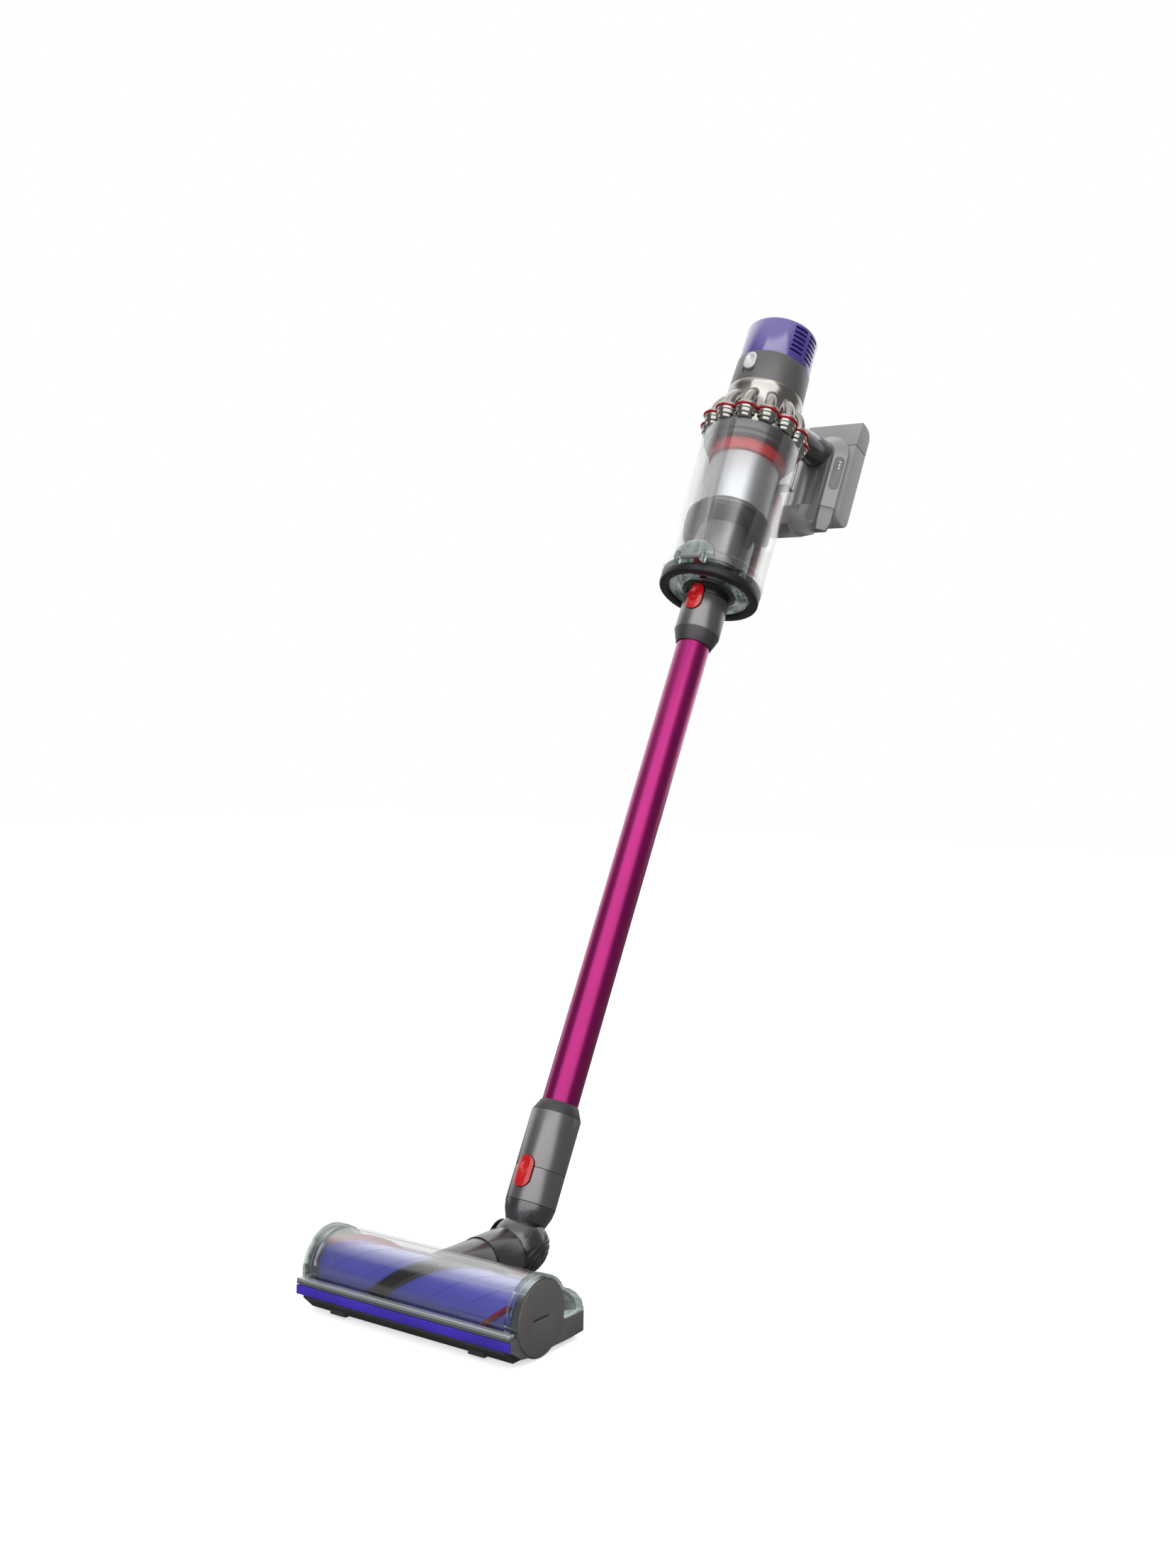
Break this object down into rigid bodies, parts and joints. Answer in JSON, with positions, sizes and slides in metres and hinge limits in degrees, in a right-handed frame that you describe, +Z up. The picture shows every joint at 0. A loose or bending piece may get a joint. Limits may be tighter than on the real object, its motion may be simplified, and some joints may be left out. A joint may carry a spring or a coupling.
{
  "type": "upright vacuum cleaner",
  "caption": "Cordless stick vacuum cleaner: motor head with clear cover on a folding neck, metal wand, clear bin, cyclone ring, motor, filter cap, trigger handle and battery.",
  "frame": {"origin": "centre of the bounding box in plan, on the floor under the head's wheels", "axes": "+Z up, the brush roller lies along X, the front of the head faces -Y and the machine leans back towards +Y"},
  "size_m": [0.2518, 0.8744, 1.04],
  "materials": {
    "satin_grey": "satin metallic grey",
    "dark_grey": "dark metallic grey",
    "grip_gloss": "dark gloss",
    "matte_grey": "matte warm grey",
    "battery_grey": "light warm grey satin",
    "black_rubber": "black rubber",
    "rib_black": "dark satin ribs",
    "bristle_black": "black filament",
    "bristle_red": "crimson filament",
    "red_gloss": "bright red gloss",
    "red_seal": "red rubber",
    "clear_plastic": "clear moulded plastic",
    "nickel": "polished nickel",
    "filter_purple": "satin purple",
    "filter_pleat": "white pleated filter",
    "wand_magenta": "magenta anodised",
    "roller_violet": "glossy blue violet",
    "felt_violet": "velvet blue violet",
    "steel": "turned steel",
    "slider_silver": "silver white",
    "shroud_mesh": "fine perforated steel",
    "window_black": "smoked black"
  },
  "bodies": {
    "main_body": {"cyclone_caps": "nickel", "stem": "dark_grey", "cyclone_cups": "nickel", "cyclone_gasket": "red_seal", "handle_casing": "satin_grey", "wand_upper_collar": "satin_grey", "wand_lower_collar": "satin_grey", "motor_housing": "satin_grey", "inlet_nozzle": "dark_grey", "bin_shell": "clear_plastic", "bin_door": "clear_plastic", "inner_duct": "satin_grey", "shroud_flange": "dark_grey", "neck_socket": "satin_grey", "shroud_skirt": "black_rubber", "wand_tube": "wand_magenta", "door_seal": "black_rubber", "shroud_ring": "satin_grey", "shroud_mesh": "shroud_mesh", "shroud_seal": "red_seal", "grip": "grip_gloss", "status_window_left": "window_black", "status_window_right": "window_black", "battery_pack": "battery_grey", "strut": "satin_grey", "motor": "dark_grey", "charging_socket": "window_black", "door_hinge": "steel", "bin_runner": "dark_grey"},
    "brush_roller": {"brush_core": "roller_violet", "brush_bearing": "steel", "black_bristle": "bristle_black", "red_bristle": "bristle_red"},
    "end_cap_body": {"end_cap": "matte_grey"},
    "wheel_front_left_body": {"wheel_front_left": "black_rubber"},
    "wheel_front_right_body": {"wheel_front_right": "black_rubber"},
    "wheel_rear_left_body": {"wheel_rear_left": "black_rubber"},
    "wheel_rear_right_body": {"wheel_rear_right": "black_rubber"},
    "elbow": {"neck_collar": "dark_grey", "elbow_hood": "satin_grey", "elbow_ribs": "rib_black", "fold_pin_left": "steel", "fold_pin_right": "steel"},
    "cleaner_head": {"head_housing": "matte_grey", "soleplate": "dark_grey", "clear_cover": "clear_plastic", "rear_window": "clear_plastic", "front_bar": "matte_grey", "front_felt": "felt_violet", "rear_felt": "felt_violet", "brush_motor": "dark_grey", "neck_tube": "dark_grey"},
    "head_button": {"head_release_button": "red_gloss"},
    "wand_button": {"wand_release_button": "red_gloss"},
    "bin_lever": {"release_lever": "red_gloss"},
    "mode_button": {"mode_slider": "slider_silver"},
    "trigger_body": {"trigger": "red_gloss"},
    "filter_unit": {"filter_cap": "filter_purple", "filter_element": "filter_pleat"},
    "impeller_body": {"impeller": "steel"}
  },
  "joints": [
    {"name": "brush_spin", "type": "hinge", "parent": "cleaner_head", "child": "brush_roller", "pos_m": [-0.0003, -0.39129, 0.0359], "axis": [1, 0, 0], "continuous": true},
    {"name": "end_cap_turn", "type": "hinge", "parent": "cleaner_head", "child": "end_cap_body", "pos_m": [0.1217, -0.39129, 0.0359], "axis": [1, 0, 0], "range_deg": [0, 90]},
    {"name": "filter_twist", "type": "hinge", "parent": "main_body", "child": "filter_unit", "pos_m": [-0.022, 0.26125, 0.99957], "axis": [0, 0.454, 0.891], "range_deg": [-20, 0]},
    {"name": "head_release_press", "type": "slide", "parent": "main_body", "child": "head_button", "axis": [0, 0.891, -0.454], "range_m": [0, 0.003], "stiffness_N_per_m": 900, "springref_m": -0.001},
    {"name": "impeller_spin", "type": "hinge", "parent": "main_body", "child": "impeller_body", "pos_m": [-0.022, 0.2281, 0.93453], "axis": [0, 0.454, 0.891], "continuous": true},
    {"name": "lever_slide", "type": "slide", "parent": "main_body", "child": "bin_lever", "axis": [0, -0.454, -0.891], "range_m": [0, 0.015], "stiffness_N_per_m": 300, "springref_m": -0.004},
    {"name": "mode_slide", "type": "slide", "parent": "main_body", "child": "mode_button", "axis": [0, -0.454, -0.891], "range_m": [0, 0.008]},
    {"name": "neck_fold", "type": "hinge", "parent": "main_body", "child": "elbow", "pos_m": [-0.022, -0.23329, 0.0345], "axis": [1, 0, 0], "range_deg": [-27, 53]},
    {"name": "neck_twist", "type": "hinge", "parent": "elbow", "child": "cleaner_head", "pos_m": [-0.022, -0.29429, 0.031], "axis": [0, 1, 0], "range_deg": [-80, 80]},
    {"name": "trigger_pull", "type": "slide", "parent": "main_body", "child": "trigger_body", "axis": [0, 0.454, 0.891], "range_m": [0, 0.005], "stiffness_N_per_m": 500, "springref_m": -0.002},
    {"name": "wand_release_press", "type": "slide", "parent": "main_body", "child": "wand_button", "axis": [0, 0.891, -0.454], "range_m": [0, 0.003], "stiffness_N_per_m": 900, "springref_m": -0.001},
    {"name": "wheel_front_left_spin", "type": "hinge", "parent": "cleaner_head", "child": "wheel_front_left_body", "pos_m": [-0.0823, -0.41829, 0.0055], "axis": [1, 0, 0], "continuous": true},
    {"name": "wheel_front_right_spin", "type": "hinge", "parent": "cleaner_head", "child": "wheel_front_right_body", "pos_m": [0.0817, -0.41829, 0.0055], "axis": [1, 0, 0], "continuous": true},
    {"name": "wheel_rear_left_spin", "type": "hinge", "parent": "cleaner_head", "child": "wheel_rear_left_body", "pos_m": [-0.0623, -0.34129, 0.0055], "axis": [1, 0, 0], "continuous": true},
    {"name": "wheel_rear_right_spin", "type": "hinge", "parent": "cleaner_head", "child": "wheel_rear_right_body", "pos_m": [0.0617, -0.34129, 0.0055], "axis": [1, 0, 0], "continuous": true}
  ]
}
